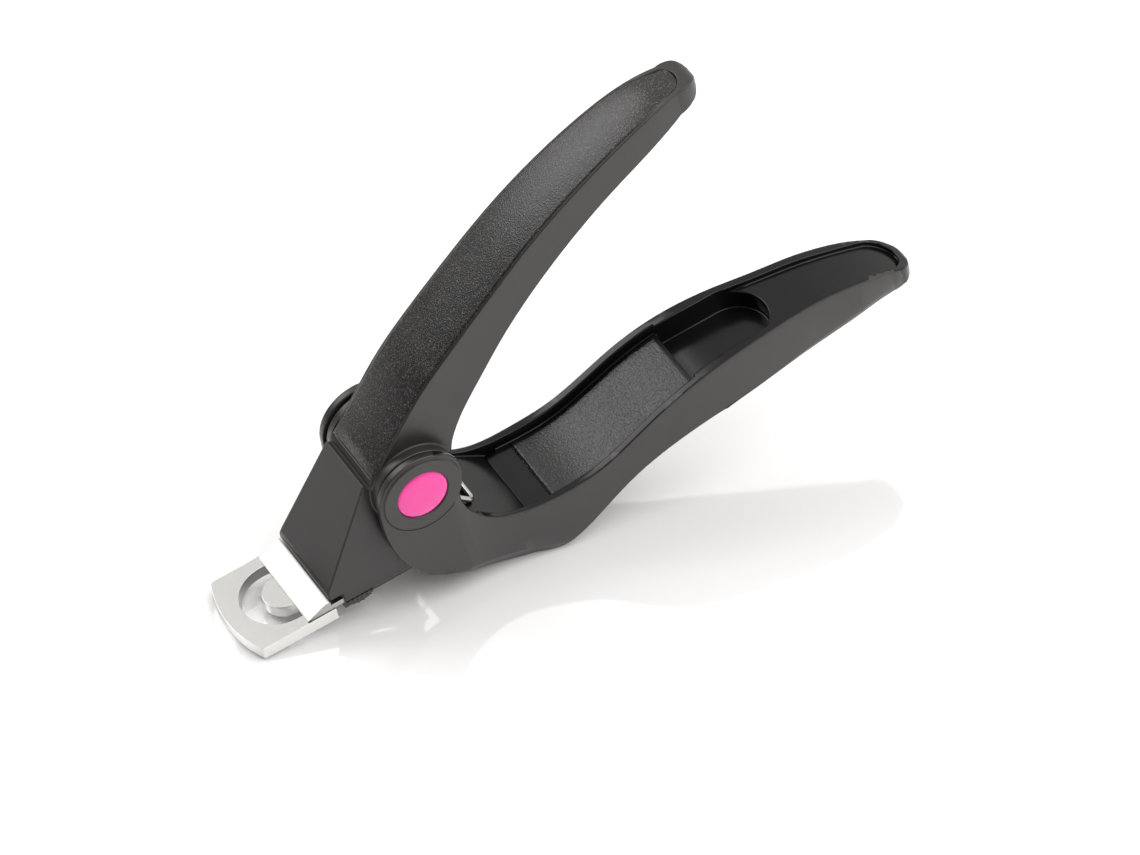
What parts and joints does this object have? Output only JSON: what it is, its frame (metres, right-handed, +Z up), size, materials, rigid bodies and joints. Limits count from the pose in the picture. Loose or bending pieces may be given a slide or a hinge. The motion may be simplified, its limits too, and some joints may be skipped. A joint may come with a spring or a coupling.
{
  "type": "guillotine nail tip cutter",
  "caption": "Hand-held guillotine cutter with a squeezed lever that draws a slotted steel plate under a straight bevelled blade.",
  "frame": {"origin": "middle of the footprint on the surface the tool stands on", "axes": "+X from the cutting plate to the handles, +Y to the left seen from the handles, +Z up"},
  "size_m": [0.1326, 0.023, 0.0896],
  "materials": {
    "black_plastic": "satin",
    "grained_inlay": "grained",
    "pink_plastic": "gloss",
    "washer_plastic": "matte",
    "steel": "polished",
    "spring_steel": "drawn wire"
  },
  "bodies": {
    "head": {"front_handle": "black_plastic", "front_grip_panel": "grained_inlay", "blade": "steel", "blade_rivet_left": "steel", "blade_rivet_right": "steel", "guide_bush": "steel", "guide_screw": "steel", "spring_sleeve": "steel", "torsion_spring": "spring_steel"},
    "lever": {"lower_handle": "black_plastic", "pivot_pin": "steel", "retaining_ring": "steel", "pivot_cap_left": "pink_plastic", "pivot_cap_right": "pink_plastic", "pivot_washer_left": "washer_plastic", "pivot_washer_right": "washer_plastic", "drive_pin": "steel"},
    "slide": {"die_plate": "steel", "slide_yoke": "steel", "slide_shoe": "black_plastic", "yoke_rivet_left": "steel", "yoke_rivet_right": "steel"}
  },
  "joints": [
    {"name": "lever_pivot", "type": "hinge", "parent": "head", "child": "lever", "pos_m": [-0.03411, 0, 0.02651], "axis": [0, -1, 0], "range_deg": [0, 36.3], "stiffness_Nm_per_rad": 0.8, "springref_deg": -17.19, "deforming": ["torsion_spring"]},
    {"name": "plate_slide", "type": "slide", "parent": "head", "child": "slide", "axis": [0.9779, 0, 0.2091], "range_m": [0, 0.0082]}
  ],
  "couplings": [
    {"joint": "plate_slide", "follows": "lever_pivot", "m_per_rad": 0.012784}
  ]
}
